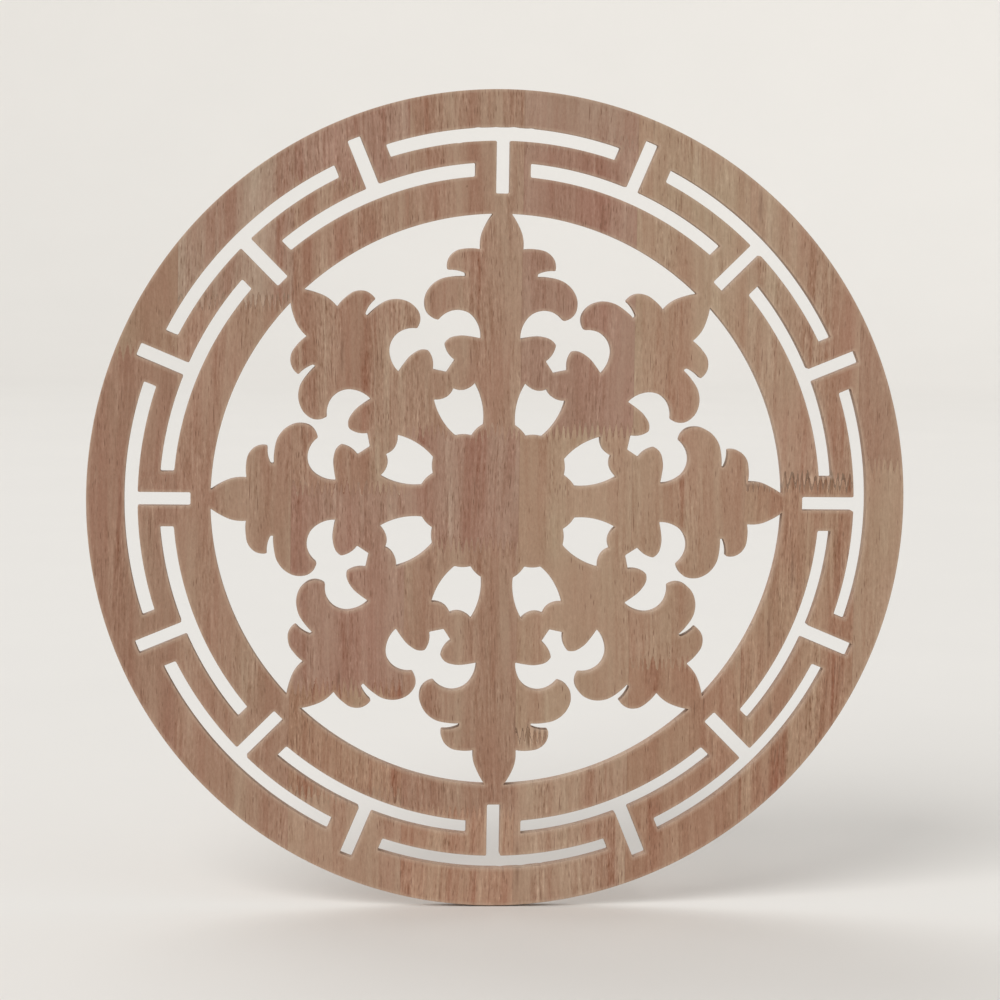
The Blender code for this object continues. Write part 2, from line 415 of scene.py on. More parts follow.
def evened(points, trim, longest):
    """A stretch cut anew, without its first and last bit, in shorter runs where it bends more.

    A chord over an arc of radius R strays by its length squared over 8 R, so a run is the root of
    8 R times the allowed stray, within its limits. New points are even in the sum of length over
    run.
    """
    steps = np.diff(points, axis=0)
    length = np.linalg.norm(steps, axis=1)
    heading = np.unwrap(np.arctan2(steps[:, 1], steps[:, 0]))
    along = np.concatenate(((0.0,), np.cumsum(length)))
    bend = np.abs(np.gradient(heading, (along[1:] + along[:-1]) / 2.0))
    run = np.clip(np.sqrt(8.0 * STRAY / np.maximum(bend, 1e-6)), SHORTEST_RUN, longest)
    count = np.concatenate(((0.0,), np.cumsum(length / run)))
    first, last = np.interp((trim, along[-1] - trim), along, count)
    places = np.interp(np.linspace(first, last, ceil(last - first) + 1), count, along)
    return np.column_stack([np.interp(places, along, axis) for axis in points.T])


def closed(stretches, rounding, longest=LONGEST_RUN):
    """One closed path of stretches that meet at corners, each rounded by a parabola.

    The parabola is (1-t)^2 p + 2 (1-t) t q + t^2 r, from the end of one stretch to the start of
    the next, with the corner itself as q.
    """
    cut = [evened(stretch, rounding, longest) for stretch in stretches]
    t = np.linspace(0.0, 1.0, CORNER_POINTS + 2)[1:-1, None]
    path = []
    for here, whole, after in zip(cut, stretches, cut[1:] + cut[:1]):
        path += [here, (1.0 - t) ** 2 * here[-1] + 2.0 * (1.0 - t) * t * whole[-1] + t * t * after[0]]
    return np.vstack(path)


def both_sides(edge):
    """An edge's smooth stretches, then their mirror images about the line midway between leaves."""
    near = [curve_through(row) for row in edge]
    return near + [mirrored(stretch, MIDWAY) for stretch in reversed(near)]


def lobed_opening():
    """Large opening between two leaves, closed by the ring's inner edge."""
    neck_angle = asin(NECK_HALF_WIDTH / RING_INNER_RADIUS)
    rim = arc(RING_INNER_RADIUS, LEAF_STEP - neck_angle, neck_angle)
    return closed(both_sides(LEAF_EDGE) + [rim], OPENING_CORNER)


def shield_opening():
    """Small opening by the hub: scalloped head and foot, with hollow sides between them."""
    return closed(both_sides(SHIELD_EDGE), OPENING_CORNER)


def key_slot(stem_side, far_side, stem_end, longest):
    """T-shaped slot about the leaf's axis: a curved bar with a straight stem in its middle."""
    end_near = MIDWAY - asin(KEY_CLEARANCE / stem_side)
    end_far = MIDWAY - asin(KEY_CLEARANCE / far_side)
    root = asin(STEM_HALF_WIDTH / stem_side)
    shoulder = arc(stem_side, root, end_near)
    back = arc(far_side, end_far, -end_far)
    half = [line((stem_end, STEM_HALF_WIDTH), shoulder[0]), shoulder, line(shoulder[-1], back[0])]
    other_half = [mirrored(stretch) for stretch in reversed(half)]
    tip = line(other_half[-1][-1], half[0][0])
    return closed(half + [back] + other_half + [tip], SLOT_CORNER, longest)


def all_paths():
    """The rim and every opening, each travelled with the wood on its left."""
    paths = [evened(arc(RIM_RADIUS, 0.0, 2.0 * pi), 0.0, LONGEST_RUN)[:-1]]
    openings = (lobed_opening(), shield_opening())
    for leaf in range(LEAF_COUNT):
        longest = CHIPPED_RUN if leaf in CHIPPED_LEAVES else LONGEST_RUN
        outer = key_slot(*OUTER_SLOT_EDGES, OUTER_STEM_END, longest)
        inner = turned(key_slot(*reversed(INNER_SLOT_EDGES), INNER_STEM_END, LONGEST_RUN), MIDWAY)
        paths += [turned(path, leaf * LEAF_STEP) for path in (*openings, outer, inner)]
    return [paths[0]] + [clockwise(path) for path in paths[1:]]


def area(path):
    """Signed area inside a path: half the sum of x times the next z less z times the next x."""
    following = np.roll(path, -1, axis=0)
    return 0.5 * (path[:, 0] * following[:, 1] - path[:, 1] * following[:, 0]).sum()


def clockwise(path):
    """The path, turned round if it runs anticlockwise."""
    return path[::-1] if area(path) > 0.0 else path


def inward(path):
    """At each point, the vector into the wood that moves both neighbouring edges by one unit.

    It is the sum of the two edge normals over one plus their product.
    """
    edges = unit(np.roll(path, -1, axis=0) - path)
    after = np.column_stack((-edges[:, 1], edges[:, 0]))
    before = np.roll(after, 1, axis=0)
    return (before + after) / (1.0 + (before * after).sum(axis=1, keepdims=True))


def chipped(path):
    """The path moved into the wood by each chip's depth times a bell round its place."""
    shift = np.zeros(len(path))
    for place, reach, depth in CHIPS:
        away = np.linalg.norm(path - np.array(place), axis=1)
        shift += depth * np.exp(-(away / reach) ** 2)
    return path + inward(path) * shift[:, None]


def easing_along(path, easing):
    """The easing at each point, no more than a share of the wood's own radius there.

    The radius is the mean of both edges over the turn to the left. The limit then spreads to its
    neighbours, growing by the slope times the distance.
    """
    edges = np.roll(path, -1, axis=0) - path
    length = np.linalg.norm(edges, axis=1)
    heading = np.arctan2(edges[:, 1], edges[:, 0])
    turn = (heading - np.roll(heading, 1) + pi) % (2.0 * pi) - pi
    radius = (length + np.roll(length, 1)) / 2.0 / np.maximum(turn, 1e-6)
    held = np.minimum(easing, EASING_SHARE * radius)
    for _ in range(EASING_PASSES):
        from_before = np.roll(held, 1) + EASING_SLOPE * np.roll(length, 1)
        from_after = np.roll(held, -1) + EASING_SLOPE * length
        held = np.minimum(held, np.minimum(from_before, from_after))
    return held


def edge_wall(path, thickness, front_easing, back_easing):
    """Grid of the cut edge: a profile carried along the path, from the front face to the back.

    The profile is a quarter circle of the front easing, a straight wall and a quarter circle of
    the back easing. A quarter circle of radius e at angle a lies e (1 - sin a) in from the path
    and e (1 - cos a) behind its face.
    """
    front = easing_along(path, front_easing)
    back = easing_along(path, back_easing)
    a = np.linspace(0.0, pi / 2.0, FRONT_EASING_ROWS)[:, None]
    b = np.linspace(pi / 2.0, 0.0, BACK_EASING_ROWS)[:, None]
    inset = np.vstack((front * (1.0 - np.sin(a)), back * (1.0 - np.sin(b))))
    depth = np.vstack((front * (1.0 - np.cos(a)) - thickness, -back * (1.0 - np.cos(b))))
    flat = path[None] + inward(path)[None] * inset[..., None]
    return np.dstack((flat[..., 0], depth, flat[..., 1]))


def grid_faces(rows, count, first):
    """Quads of a grid whose columns close on themselves, facing away from the wood."""
    i, j = np.meshgrid(np.arange(rows - 1), np.arange(count), indexing="ij")
    here = first + i * count + j
    aside = first + i * count + (j + 1) % count
    return np.stack((here, here + count, aside + count, aside), axis=-1).reshape(-1, 4)


def band_points(paths):
    """Points a set distance inside every path, where no path is nearer than that."""
    everything = np.vstack(paths)
    kept = []
    for path in paths:
        inner = path + inward(path) * RIM_BAND
        gap = np.linalg.norm(inner[:, None, :] - everything[None], axis=2).min(axis=1)
        kept.append(inner[gap > RIM_BAND_CLEARANCE * RIM_BAND])
    return np.vstack(kept)


def face_triangles(loops, band):
    """Triangles that fill the wood between closed loops, with the band's points among them."""
    points = np.vstack(loops + [band])
    starts = np.cumsum([0] + [len(loop) for loop in loops[:-1]])
    edges = []
    for start, loop in zip(starts, loops):
        here = np.arange(len(loop))
        edges.append(start + np.column_stack((here, (here + 1) % len(loop))))
    result = delaunay_2d_cdt(points.tolist(), np.vstack(edges).tolist(), [], 0, SAME_POINT)
    if len(result[0]) != len(points):
        raise RuntimeError("two outlines of the panel cross")
    triangles = np.array(result[2])
    middle = points[triangles].mean(axis=1)
    inside = np.zeros(len(middle), bool)
    for loop in loops:
        inside ^= encloses(loop, middle)
    return triangles[inside]


def encloses(loop, places):
    """Whether each place is inside the loop: a ray to the right crosses it an odd number of times."""
    near = (places >= loop.min(axis=0)).all(axis=1) & (places <= loop.max(axis=0)).all(axis=1)
    found = np.zeros(len(places), bool)
    after = np.roll(loop, -1, axis=0)
    x, z = places[near, 0][:, None], places[near, 1][:, None]
    crosses = (loop[:, 1] > z) != (after[:, 1] > z)
    rise = np.where(after[:, 1] == loop[:, 1], 1.0, after[:, 1] - loop[:, 1])
    meeting = loop[:, 0] + (z - loop[:, 1]) * (after[:, 0] - loop[:, 0]) / rise
    found[near] = (crosses & (x < meeting)).sum(axis=1) % 2
    return found


def panel_mesh(sizes):
    """The whole panel: a cut edge along every path, and both faces filled between them."""
    scale = sizes.diameter / (2.0 * RIM_RADIUS * MM)
    thickness = sizes.thickness / scale / MM
    front, back = sizes.front_easing / scale / MM, sizes.back_easing / scale / MM
    paths = [chipped(path) for path in all_paths()]
    walls = [edge_wall(path, thickness, front, back) for path in paths]
    rows = len(walls[0])
    firsts = np.cumsum([0] + [wall.shape[0] * wall.shape[1] for wall in walls])
    quads = np.vstack([grid_faces(rows, wall.shape[1], first) for wall, first in zip(walls, firsts)])
    band = band_points(paths)
    points = [wall.reshape(-1, 3) for wall in walls]
    edge = [np.repeat(edge_fade(rows), wall.shape[1]) for wall in walls]
    faces = [quads]
    total = firsts[-1]
    for row, depth, flip in ((0, -thickness, False), (rows - 1, 0.0, True)):
        loops = [wall[row][:, (0, 2)] for wall in walls]
        triangles = face_triangles(loops, band)
        ids = np.concatenate([first + row * wall.shape[1] + np.arange(wall.shape[1])
                              for wall, first in zip(walls, firsts)] + [total + np.arange(len(band))])
        faces.append(ids[triangles[:, ::-1] if flip else triangles])
        points.append(np.column_stack((band[:, 0], np.full(len(band), depth), band[:, 1])))
        edge.append(np.zeros(len(band)))
        total += len(band)
    mesh = bpy.data.meshes.new("panel_finished")
    corners = np.vstack(points) * scale * MM
    mesh.from_pydata(corners.tolist(), [], [face for block in faces for face in block.tolist()])
    mesh.attributes.new("edge", "FLOAT", "POINT").data.foreach_set("value", np.concatenate(edge))
    smooth = np.zeros(len(mesh.polygons), bool)
    smooth[:len(quads)] = True
    mesh.polygons.foreach_set("use_smooth", smooth)
    mesh.update()
    return mesh


def edge_fade(rows):
    """How pale each row of the edge is: full over the front easing, less on the wall behind it. On the
    easing the pale is raised fibre with a painted highlight, and on the wall it is painted light that lifts
    its shade.
    """
    fade = np.full(rows, WALL_PAINTED_LIGHT)
    fade[:FRONT_EASING_ROWS] = 1.0
    fade[0] = FACE_EDGE_FUZZ_AND_HIGHLIGHT
    return fade


def add(tree, kind, feeds=None, **settings):
    """Adds a node, sets its properties, and gives its inputs, by number or name, values or links.

    A node given to an input stands for its first usable output.
    """
    node = tree.nodes.new("ShaderNode" + kind)
    for name, value in settings.items():
        setattr(node, name, value)
    usable = [socket for socket in node.inputs if socket.enabled]
    for key, value in (feeds or {}).items():
        socket = usable[key] if isinstance(key, int) else next(s for s in usable if s.name == key)
        if isinstance(value, bpy.types.Node):
            value = next(output for output in value.outputs if output.enabled)
        if isinstance(value, bpy.types.NodeSocket):
            tree.links.new(value, socket)
        else:
            socket.default_value = value
    return node


def ramp_up(tree, share, stops, interpolation):
    """A ramp through stops of height, colour and alpha, from the panel's foot up."""
    ramp = add(tree, "ValToRGB", {0: share})
    steps = ramp.color_ramp
    steps.interpolation = interpolation
    steps.elements.remove(steps.elements[1])
    for number, (height, colour, alpha) in enumerate(stops):
        place = (height + RIM_RADIUS) / (2.0 * RIM_RADIUS)
        step = steps.elements.new(place) if number else steps.elements[0]
        step.position = place
        step.color = (*colour, alpha)
    return ramp


def stave_stops(blocks, wood):
    """Stops of one stave: tones with their figure as alpha, and finger joints about grey.

    A joint is paler than grey if the block above it is the paler one, and darker if not, by half
    its strength.
    """
    grey = (0.5,) * 3
    lowest = blocks[-1]
    below = np.array(getattr(wood, lowest[0]))
    tones = [(-RIM_RADIUS, below, lowest[1])]
    joints = [(-RIM_RADIUS, grey, 1.0)]
    half = FINGER_LENGTH / 2.0
    for name, figure, foot, strength in reversed(blocks[:-1]):
        tone = np.array(getattr(wood, name))
        flank = (tone + below) / 2.0 * (1.0 - FLANK_SHADE * strength)
        tones += [(foot - FLANK_REACH, flank, figure), (foot + FLANK_REACH, tone, figure)]
        sign = 1.0 if tone.sum() > below.sum() else -1.0
        full = (0.5 + 0.5 * sign * strength,) * 3
        joints += [(foot - half - FINGER_FADE, grey, 1.0), (foot - half, full, 1.0),
                   (foot + half, full, 1.0), (foot + half + FINGER_FADE, grey, 1.0)]
        below = tone
    return tones, joints


def board(tree, x, z, level, wood):
    """Tone of the block at each place, how strongly its figure shows, and its joints from -1 to 1.

    The level is the height that a place would have if the joints near it were straight. The stave
    to the right takes over past each glue line.
    """
    levels = add(tree, "MapRange", {0: level, 1: -RIM_RADIUS, 2: RIM_RADIUS})
    heights = add(tree, "MapRange", {0: z, 1: -RIM_RADIUS, 2: RIM_RADIUS})
    parts = None
    for number, blocks in enumerate(STAVES):
        tones, joints = stave_stops(blocks, wood)
        ramp = ramp_up(tree, levels, tones, "CONSTANT")
        comb = ramp_up(tree, heights, joints, "LINEAR")
        here = (ramp.outputs["Color"], ramp.outputs["Alpha"], comb.outputs["Color"])
        if number == 0:
            parts = here
            continue
        seam = FIRST_JOINT + (number - 1) * STAVE_WIDTH
        past = add(tree, "Math", {0: x, 1: seam}, operation="GREATER_THAN")
        parts = [add(tree, "Mix", {0: past, 1: left, 2: right}, data_type=kind)
                 for left, right, kind in zip(parts, here, ("RGBA", "FLOAT", "RGBA"))]
    joint = add(tree, "Math", {0: add(tree, "SeparateColor", {0: parts[2]}), 1: 2.0, 2: -1.0},
                operation="MULTIPLY_ADD")
    return parts[0], parts[1], joint


def marks(tree, millimetres):
    """Sum of the dark streaks: each fades from its middle to the surface of an ellipsoid."""
    total = None
    for (x, z), half_width, half_length, strength in MARKS:
        away = add(tree, "VectorMath", {0: millimetres, 1: (x, -(HIGH.y - LOW.y) / MM, z)},
                   operation="SUBTRACT")
        away = add(tree, "VectorMath", {0: away, 1: over((half_width, MARK_HALF_DEPTH, half_length))},
                   operation="MULTIPLY")
        away = add(tree, "VectorMath", {0: away}, operation="LENGTH")
        shade = add(tree, "MapRange", {0: away, 1: MARK_CORE, 2: 1.0, 3: strength, 4: 0.0},
                    interpolation_type="SMOOTHSTEP")
        total = shade if total is None else add(tree, "Math", {0: total, 1: shade}, operation="MAXIMUM")
    return total


def over(size):
    """One over each of three sizes, for stretching a pattern to them."""
    return tuple(1.0 / value for value in size)


def dashes(tree, x, z, size, density, reach):
    """Open vessels cut lengthwise: a short dark dash in some cells of a stretched cell pattern.

    A dash is a cell's middle out to a share of the cell, a cell has one if its own random number
    is under the density, and another random number of its own says how dark it is.
    """
    across = add(tree, "Math", {0: x, 1: size[0]}, operation="DIVIDE")
    along = add(tree, "Math", {0: z, 1: size[1]}, operation="DIVIDE")
    place = add(tree, "CombineXYZ", {0: across, 1: along})
    cell = add(tree, "TexVoronoi", {"Vector": place, "Scale": 1.0}, voronoi_dimensions="2D")
    chance = add(tree, "SeparateColor", {0: cell.outputs["Color"]})
    dark = add(tree, "Math", {0: chance.outputs["Green"], 1: 1.0 - FAINTEST_VESSEL, 2: FAINTEST_VESSEL},
               operation="MULTIPLY_ADD")
    away = cell.outputs["Distance"]
    dash = add(tree, "MapRange", {0: away, 1: reach * VESSEL_CORE, 2: reach, 3: dark, 4: 0.0},
               interpolation_type="SMOOTHSTEP")
    has = add(tree, "Math", {0: chance, 1: density}, operation="LESS_THAN")
    return add(tree, "Math", {0: dash, 1: has}, operation="MULTIPLY")


def grain_layer(tree, place, size, detail):
    """Noise drawn out to a size: about -1 where the wood is dark, 1 where it is pale."""
    stretched = add(tree, "VectorMath", {0: place, 1: over(size)}, operation="MULTIPLY")
    noise = add(tree, "TexNoise", {"Vector": stretched, "Scale": 1.0, "Detail": detail,
                                   "Roughness": NOISE_ROUGHNESS})
    return add(tree, "MapRange", {0: noise, 1: NOISE_RANGE[0], 2: NOISE_RANGE[1], 3: -1.0, 4: 1.0})


def rubberwood(wood):
    """Rubberwood board, glued up from finger-jointed staves, sanded and left bare.

    To the eye it is a dull pinkish tan without shine. Every block has its own tone, soft bands and fine
    streaks run along it, open vessels show as short dark dashes, and the sanded edges carry a thin pale
    fuzz of raised fibre with a painted highlight. The cut walls behind them are paled with painted light.
    """
    material = bpy.data.materials.new("rubberwood_sanded_bare")
    material.use_nodes = True
    tree = material.node_tree
    shader = tree.nodes["Principled BSDF"]

    millimetres = add(tree, "VectorMath", {0: add(tree, "TexCoord").outputs["Object"], "Scale": 1.0 / MM},
                      operation="SCALE")
    axes = add(tree, "SeparateXYZ", {0: millimetres})
    x, z = axes.outputs["X"], axes.outputs["Z"]
    raised = add(tree, "VectorMath", {0: millimetres, 1: over(FIBRE_SIZE)}, operation="MULTIPLY")
    fibre = add(tree, "TexNoise", {"Vector": raised, "Scale": 1.0, "Detail": 1.0})

    # Teeth of the finger joints: a cosine of x after x has drifted a little. The fibre makes their
    # flanks ragged, and each flank lies a little higher or lower by its own luck.
    drift = add(tree, "Math", {0: x, 1: FINGER_DRIFT_SIZE}, operation="DIVIDE")
    drift = add(tree, "TexNoise", {"W": drift, "Scale": 1.0, "Detail": 0.0}, noise_dimensions="1D")
    across = add(tree, "Math", {0: drift, 1: FINGER_DRIFT, 2: x}, operation="MULTIPLY_ADD")
    across = add(tree, "Math", {0: across, 1: 2.0 / FINGER_PITCH}, operation="MULTIPLY")
    tooth = add(tree, "Math", {0: across, 1: pi}, operation="MULTIPLY")
    tooth = add(tree, "Math", {0: tooth}, operation="COSINE")
    level = add(tree, "Math", {0: tooth, 1: -FINGER_LENGTH / 2.0, 2: z}, operation="MULTIPLY_ADD")
    ragged = add(tree, "Math", {0: fibre, 1: 0.5}, operation="SUBTRACT")
    level = add(tree, "Math", {0: ragged, 1: FLANK_RAGGEDNESS, 2: level}, operation="MULTIPLY_ADD")
    flank = add(tree, "Math", {0: across}, operation="FLOOR")
    luck = add(tree, "TexWhiteNoise", {"W": flank}, noise_dimensions="1D").outputs["Value"]
    luck = add(tree, "Math", {0: luck, 1: 0.5}, operation="SUBTRACT")
    level = add(tree, "Math", {0: luck, 1: TOOTH_JITTER, 2: level}, operation="MULTIPLY_ADD")
    tone, strength, joint = board(tree, x, z, level, wood)
    number = add(tree, "Math", {0: across}, operation="ROUND")
    turn = add(tree, "Math", {0: number, 1: 1.0}, operation="PINGPONG")
    own_luck = add(tree, "TexWhiteNoise", {"W": number}, noise_dimensions="1D").outputs["Value"]
    turn = add(tree, "Math", {0: own_luck, 1: TOOTH_LUCK, 2: turn}, operation="MULTIPLY_ADD")
    turn = add(tree, "Math", {0: turn, 1: (1.0 + TOOTH_LUCK) / 2.0}, operation="SUBTRACT")
    joint = add(tree, "Math", {0: joint, 1: turn}, operation="MULTIPLY")
    strength = add(tree, "Math", {0: strength, 1: wood.figure}, operation="MULTIPLY")

    # Each block is another piece of the tree, so its own tone and stave choose where in it.
    stave = add(tree, "Math", {0: x, 1: FIRST_JOINT}, operation="SUBTRACT")
    stave = add(tree, "Math", {0: stave, 1: STAVE_WIDTH}, operation="DIVIDE")
    stave = add(tree, "Math", {0: stave}, operation="FLOOR")
    stave = add(tree, "CombineXYZ", {0: stave, 1: stave})
    key = add(tree, "VectorMath", {0: tone, 1: stave}, operation="ADD")
    chance = add(tree, "TexWhiteNoise", {0: key}).outputs["Color"]
    own = add(tree, "VectorMath", {0: chance, 1: (BLOCK_SHIFT,) * 3, 2: millimetres},
              operation="MULTIPLY_ADD")
    slope = add(tree, "Math", {0: chance, 1: 0.5}, operation="SUBTRACT")
    lean = add(tree, "Math", {0: slope, 1: z}, operation="MULTIPLY")
    lean = add(tree, "Math", {0: lean, 1: 2.0 * GRAIN_TILT}, operation="MULTIPLY")
    soft = add(tree, "VectorMath", {0: own, 1: over(CLOUD_SIZE)}, operation="MULTIPLY")
    wave = add(tree, "TexNoise", {"Vector": soft, "Scale": 1.0, "Detail": 1.0})
    blush = add(tree, "SeparateColor", {0: wave.outputs["Color"]}).outputs["Blue"]
    sway = add(tree, "Math", {0: wave, 1: GRAIN_SWAY, 2: lean}, operation="MULTIPLY_ADD")
    grain = add(tree, "VectorMath", {0: own, 1: add(tree, "CombineXYZ", {0: sway})}, operation="ADD")

    band = grain_layer(tree, grain, BAND_SIZE, 3.0)
    streak = grain_layer(tree, grain, STREAK_SIZE, 1.5)
    fleck = grain_layer(tree, grain, FLECK_SIZE, 2.0)
    sharp = add(tree, "Math", {0: fleck, 1: fleck}, operation="MULTIPLY")
    sharp = add(tree, "Math", {0: sharp, 1: FLECK_SHARPNESS, 2: 1.0}, operation="MULTIPLY_ADD")
    sharp = add(tree, "Math", {0: sharp, 1: fleck}, operation="MULTIPLY")

    # Streaks, flecks and vessels crowd in zones, with plain wood between them.
    zone = grain_layer(tree, own, ZONE_SIZE, 1.0)
    zone = add(tree, "MapRange", {0: zone, 1: -1.0, 2: 1.0, 3: ZONE_RANGE[0], 4: ZONE_RANGE[1]})
    crowd = add(tree, "MapRange", {0: band, 1: -VESSEL_CONTRAST, 2: VESSEL_CONTRAST,
                                   3: VESSEL_CROWDS[0], 4: VESSEL_CROWDS[1]})
    density = add(tree, "Math", {0: crowd, 1: strength}, operation="MULTIPLY")
    density = add(tree, "Math", {0: density, 1: zone}, operation="MULTIPLY")
    along = add(tree, "SeparateXYZ", {0: grain})
    across, along = along.outputs["X"], along.outputs["Z"]
    short = dashes(tree, across, along, VESSEL_SIZE, density, VESSEL_REACH)
    long = dashes(tree, across, along, LONG_VESSEL_SIZE, density, LONG_VESSEL_REACH)
    pores = add(tree, "Math", {0: short, 1: long}, operation="MAXIMUM")

    # Every layer lightens or darkens the block's tone in its own colour. Two of them are noises
    # about a half, so as much is taken off the even tone beforehand.
    fine = add(tree, "VectorMath", {0: streak, 1: STREAK_TINT}, operation="MULTIPLY")
    fine = add(tree, "VectorMath", {0: sharp, 1: FLECK_TINT, 2: fine}, operation="MULTIPLY_ADD")
    wide = add(tree, "VectorMath", {0: band, 1: BAND_TINT}, operation="MULTIPLY")
    pale = add(tree, "VectorMath", {0: fine, 1: zone, 2: wide}, operation="MULTIPLY_ADD")
    even = tuple(1.0 - (a + b) / 2.0 for a, b in zip(FIBRE_TINT, BLUSH_TINT))
    pale = add(tree, "VectorMath", {0: pale, 1: strength, 2: even}, operation="MULTIPLY_ADD")
    pale = add(tree, "VectorMath", {0: blush, 1: BLUSH_TINT, 2: pale}, operation="MULTIPLY_ADD")
    pale = add(tree, "VectorMath", {0: fibre, 1: FIBRE_TINT, 2: pale}, operation="MULTIPLY_ADD")
    pale = add(tree, "VectorMath", {0: joint, 1: TOOTH_TINT, 2: pale}, operation="MULTIPLY_ADD")
    colour = add(tree, "VectorMath", {0: tone, 1: pale}, operation="MULTIPLY")

    # Dark figure: streaks broken up by the grain, and the open vessels.
    mark = add(tree, "Math", {0: streak, 1: MARK_STREAKS, 2: MARK_BASE}, operation="MULTIPLY_ADD")
    mark = add(tree, "Math", {0: mark, 1: marks(tree, millimetres)}, operation="MULTIPLY", use_clamp=True)
    colour = add(tree, "Mix", {0: mark, 1: colour, 2: (*wood.pore, 1.0)}, data_type="RGBA")
    shade = add(tree, "Math", {0: pores, 1: PORE_SHADE}, operation="MULTIPLY")
    colour = add(tree, "Mix", {0: shade, 1: colour, 2: (*wood.pore, 1.0)}, data_type="RGBA")

    # Glue lines: a hair of darker wood beside each joint between staves.
    seam = add(tree, "Math", {0: stave_offset(tree, x), 1: 0.0, 2: GLUE_HALF_WIDTH}, operation="COMPARE")
    seam = add(tree, "Math", {0: seam, 1: GLUE_SHADE}, operation="MULTIPLY")
    colour = add(tree, "Mix", {0: seam, 1: colour, 2: (*wood.glue, 1.0)}, data_type="RGBA")

    # Sanded edges carry pale raised fibre with a painted highlight, and the walls behind them are paled
    # with painted light that lifts their shade.
    edge = add(tree, "Attribute", attribute_name="edge").outputs["Fac"]
    fuzz_and_painted_light = add(tree, "MapRange", {0: fleck, 1: -1.0, 2: 1.0, 3: FUZZ_AND_LIGHT_RANGE[0], 4: FUZZ_AND_LIGHT_RANGE[1]})
    fuzz_and_painted_light = add(tree, "Math", {0: fuzz_and_painted_light, 1: edge}, operation="MULTIPLY")
    colour = add(tree, "Mix", {0: fuzz_and_painted_light, 1: colour, 2: (*wood.fibre, 1.0)}, data_type="RGBA")
    tree.links.new(next(o for o in colour.outputs if o.enabled), shader.inputs["Base Color"])

    rough = add(tree, "Math", {0: fleck, 1: FLECK_POLISH, 2: wood.roughness}, operation="MULTIPLY_ADD")
    tree.links.new(rough.outputs[0], shader.inputs["Roughness"])
    shader.inputs["IOR"].default_value = WOOD_IOR
    shader.inputs["Specular IOR Level"].default_value = WOOD_SPECULAR

    # Raised grain is far too shallow to mesh: a few hundredths of a millimetre, left by sanding.
    bump = add(tree, "Bump", {"Height": fibre, "Strength": RAISED_GRAIN_STRENGTH,
                              "Distance": RAISED_GRAIN * MM})
    tree.links.new(bump.outputs[0], shader.inputs["Normal"])
    return material


def stave_offset(tree, x):
    """Distance from x to the nearest glue line."""
    past = add(tree, "Math", {0: x, 1: FIRST_JOINT}, operation="SUBTRACT")
    return add(tree, "Math", {0: past, 1: STAVE_WIDTH / 2.0}, operation="PINGPONG")


def direction(azimuth, elevation):
    """Unit vector from the panel to a place in front of it, left by the azimuth and raised.

    It is -sin a cos e, -cos a cos e, sin e.
    """
    return Vector((-sin(azimuth) * cos(elevation), -cos(azimuth) * cos(elevation), sin(elevation)))


def sweep_mesh():
    """Studio floor: a flat disc with a quarter circle turned up round it, about the Z axis."""
    bend = np.linspace(-pi / 2.0, 0.0, SWEEP_ROWS)
    radius = np.concatenate(((FLOOR_EYE, FLOOR_RADIUS / 2.0), FLOOR_RADIUS + SWEEP_RADIUS * np.cos(bend)))
    height = np.concatenate(((0.0, 0.0), SWEEP_RADIUS * (1.0 + np.sin(bend))))
    angle = np.linspace(0.0, 2.0 * pi, SWEEP_COLUMNS, endpoint=False)
    x = radius[:, None] * np.cos(angle)
    y = radius[:, None] * np.sin(angle)
    z = np.broadcast_to(height[:, None] + LOW.z - FLOOR_GAP, x.shape)
    points = np.dstack((x, y, z)).reshape(-1, 3)
    faces = grid_faces(len(radius), SWEEP_COLUMNS, 0).tolist() + [list(range(SWEEP_COLUMNS))]
    mesh = bpy.data.meshes.new("studio_floor")
    mesh.from_pydata(points.tolist(), [], faces)
    mesh.shade_smooth()
    return mesh


def painted_floor(colour):
    """Matt studio paint, rolled on: pale and even, with the faintest mottle."""
    material = bpy.data.materials.new("studio_paint_matt")
    material.use_nodes = True
    tree = material.node_tree
    shader = tree.nodes["Principled BSDF"]
    place = add(tree, "TexCoord").outputs["Object"]
    mottle = add(tree, "TexNoise", {"Vector": place, "Scale": 6.0, "Detail": 3.0})
    share = add(tree, "MapRange", {0: mottle, 3: 1.0 - PAINT_MOTTLE, 4: 1.0 + PAINT_MOTTLE})
    tinted = add(tree, "VectorMath", {0: tuple(colour), "Scale": share}, operation="SCALE")
    tree.links.new(tinted.outputs[0], shader.inputs["Base Color"])
    shader.inputs["Roughness"].default_value = PAINT_ROUGHNESS
    return material


class FRETWORK_OT_panel(bpy.types.Operator):
    """Make the finished panel in place of its plain solid"""

    bl_idname = "fretwork.panel"
    bl_label = "Finished Panel"

    def execute(self, context):
        scene = context.scene
        panel = bpy.data.objects.new("panel_finished", panel_mesh(scene.fretwork_panel))
        panel.data.materials.append(rubberwood(scene.fretwork_wood))
        scene.collection.objects.link(panel)
        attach(panel, BODY)
        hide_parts(NODE)
        return {"FINISHED"}


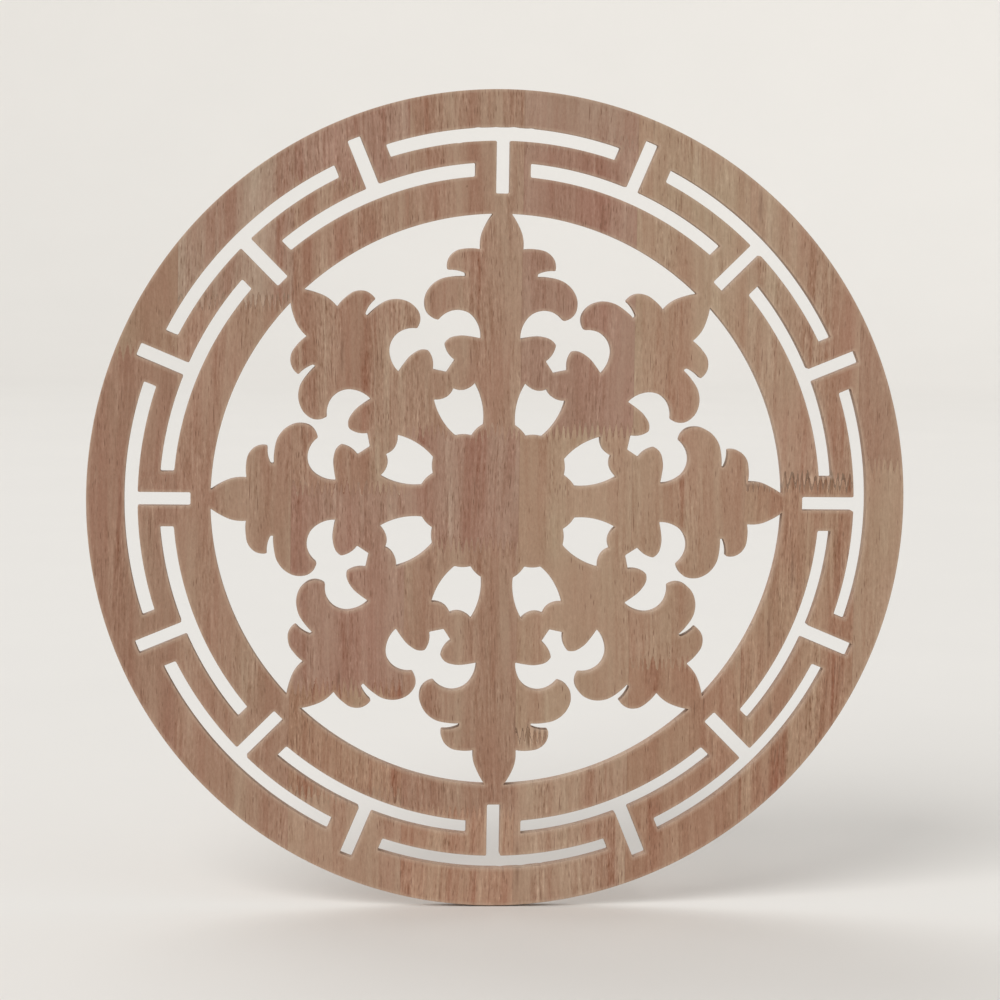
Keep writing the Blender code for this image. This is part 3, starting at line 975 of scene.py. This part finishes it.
class FRETWORK_OT_stage(bpy.types.Operator):
    """Set up the floor, the soft lights and the camera"""

    bl_idname = "fretwork.stage"
    bl_label = "Studio"

    def execute(self, context):
        scene = context.scene
        stage = scene.fretwork_stage
        floor = bpy.data.objects.new("studio_floor", sweep_mesh())
        floor.data.materials.append(painted_floor(stage.floor))
        scene.collection.objects.link(floor)
        for name, side, rise, spread, strength in SUNS:
            light = bpy.data.lights.new(name, "SUN")
            light.angle = radians(spread)
            light.energy = strength * stage.brightness
            lamp = bpy.data.objects.new(name, light)
            lamp.rotation_euler = direction(radians(side), radians(rise)).to_track_quat("Z", "Y").to_euler()
            scene.collection.objects.link(lamp)
        world = bpy.data.worlds.new("studio")
        world.use_nodes = True
        sky = world.node_tree.nodes["Background"]
        sky.inputs["Color"].default_value = (1.0, 1.0, 1.0, 1.0)
        sky.inputs["Strength"].default_value = SKY_STRENGTH * stage.brightness
        scene.world = world
        scene.view_settings.view_transform = "Standard"
        camera = bpy.data.objects.new("camera", bpy.data.cameras.new("camera"))
        camera.data.lens = stage.lens
        back = direction(stage.azimuth, stage.elevation)
        camera.location = AIM + back * stage.distance
        turn = (-back).to_track_quat("-Z", "Y") @ Quaternion((0.0, 0.0, 1.0), stage.roll)
        camera.rotation_euler = turn.to_euler()
        scene.collection.objects.link(camera)
        scene.camera = camera
        return {"FINISHED"}


class FRETWORK_PT_sidebar(bpy.types.Panel):
    """Sizes, colours and steps of the fretwork panel"""

    bl_idname = "FRETWORK_PT_sidebar"
    bl_label = "Round Fretwork Panel"
    bl_space_type = "VIEW_3D"
    bl_region_type = "UI"
    bl_category = "Fretwork"

    def draw(self, context):
        scene = context.scene
        steps = (("Panel", scene.fretwork_panel, FRETWORK_OT_panel), ("Wood", scene.fretwork_wood, None),
                 ("Studio", scene.fretwork_stage, FRETWORK_OT_stage))
        for title, settings, operator in steps:
            box = self.layout.box()
            box.label(text=title)
            for name in settings.__annotations__:
                box.prop(settings, name)
            if operator:
                box.operator(operator.bl_idname)


CLASSES = (PanelSettings, WoodSettings, StageSettings,
           FRETWORK_OT_panel, FRETWORK_OT_stage, FRETWORK_PT_sidebar)
SETTINGS = {"fretwork_panel": PanelSettings, "fretwork_wood": WoodSettings, "fretwork_stage": StageSettings}


def register():
    for item in CLASSES:
        bpy.utils.register_class(item)
    for name, group in SETTINGS.items():
        setattr(bpy.types.Scene, name, bpy.props.PointerProperty(type=group))


def unregister():
    for name in SETTINGS:
        delattr(bpy.types.Scene, name)
    for item in reversed(CLASSES):
        bpy.utils.unregister_class(item)


def main():
    register()
    bpy.ops.fretwork.panel()
    bpy.ops.fretwork.stage()


if __name__ == "__main__":
    main()
